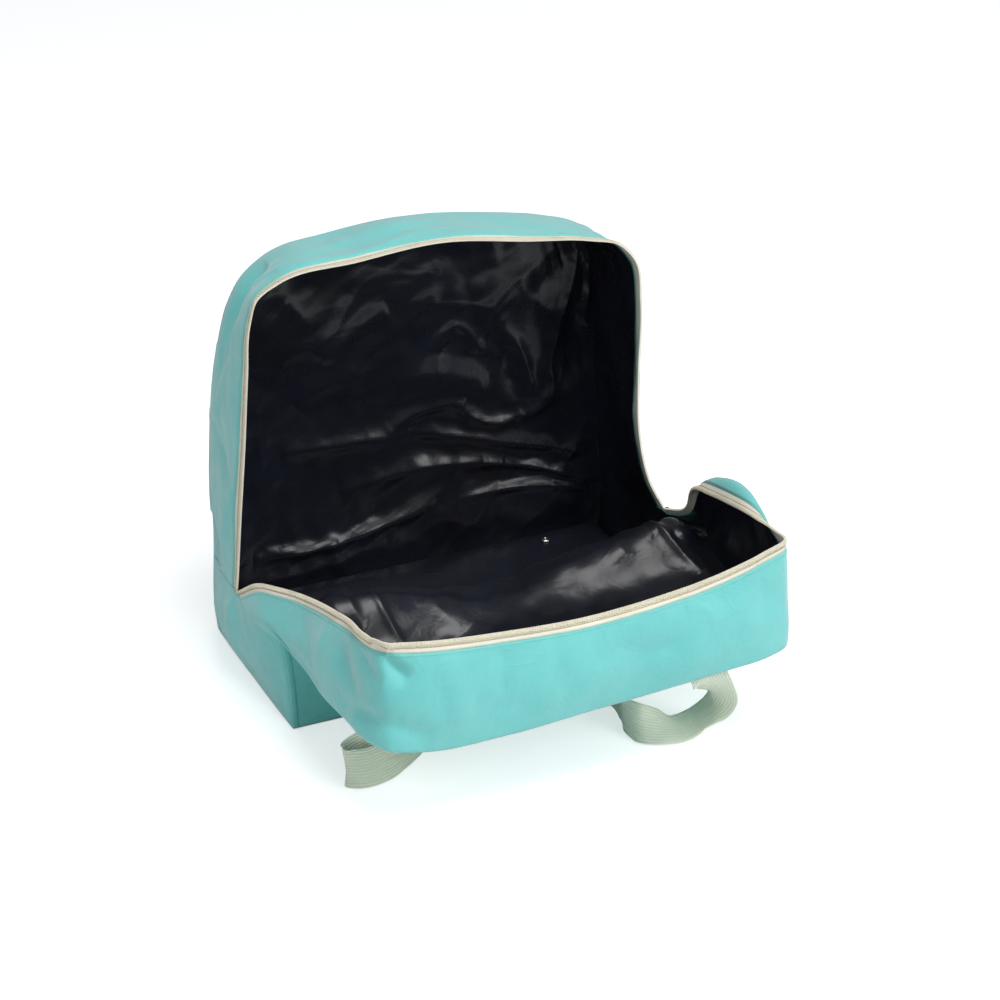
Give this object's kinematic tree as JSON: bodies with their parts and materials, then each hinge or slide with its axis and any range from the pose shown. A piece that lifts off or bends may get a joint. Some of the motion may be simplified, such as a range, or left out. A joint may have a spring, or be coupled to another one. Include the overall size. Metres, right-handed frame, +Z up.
{
  "type": "sewing machine tote bag",
  "caption": "Soft lined tote bag for a sewing machine, standing on its flat base with its zip undone and the front half folded down as a tray, with webbing handles.",
  "frame": {"origin": "on the floor, under the middle of the bag's rectangular base", "axes": "+X across the bag to the viewer's right, -Y to the front, where the folded half lies, +Z up out of the base"},
  "size_m": [0.5017, 0.5031, 0.4475],
  "materials": {
    "outer_fabric": "coated woven cloth with a soft sheen",
    "lining": "glossy soft vinyl",
    "stud_metal": "bright rivet head",
    "zip_tape": "woven tape with a coil along its edge",
    "slider_metal": "satin",
    "webbing": "ribbed webbing"
  },
  "bodies": {
    "root": {"back_panel": "outer_fabric", "back_gusset": "outer_fabric", "side_left": "outer_fabric", "side_right": "outer_fabric", "base_panel": "outer_fabric", "front_panel": "outer_fabric", "front_gusset": "outer_fabric", "corner_binding_left": "outer_fabric", "corner_binding_right": "outer_fabric", "back_lining": "lining", "front_lining": "lining", "back_gusset_lining": "lining", "front_gusset_lining": "lining", "side_left_lining": "lining", "side_right_lining": "lining", "base_pad": "lining", "base_stud": "stud_metal", "back_zip_tape": "zip_tape", "front_zip_tape": "zip_tape", "zip_slider": "slider_metal", "front_handle": "webbing", "back_handle": "webbing"}
  },
  "joints": []
}
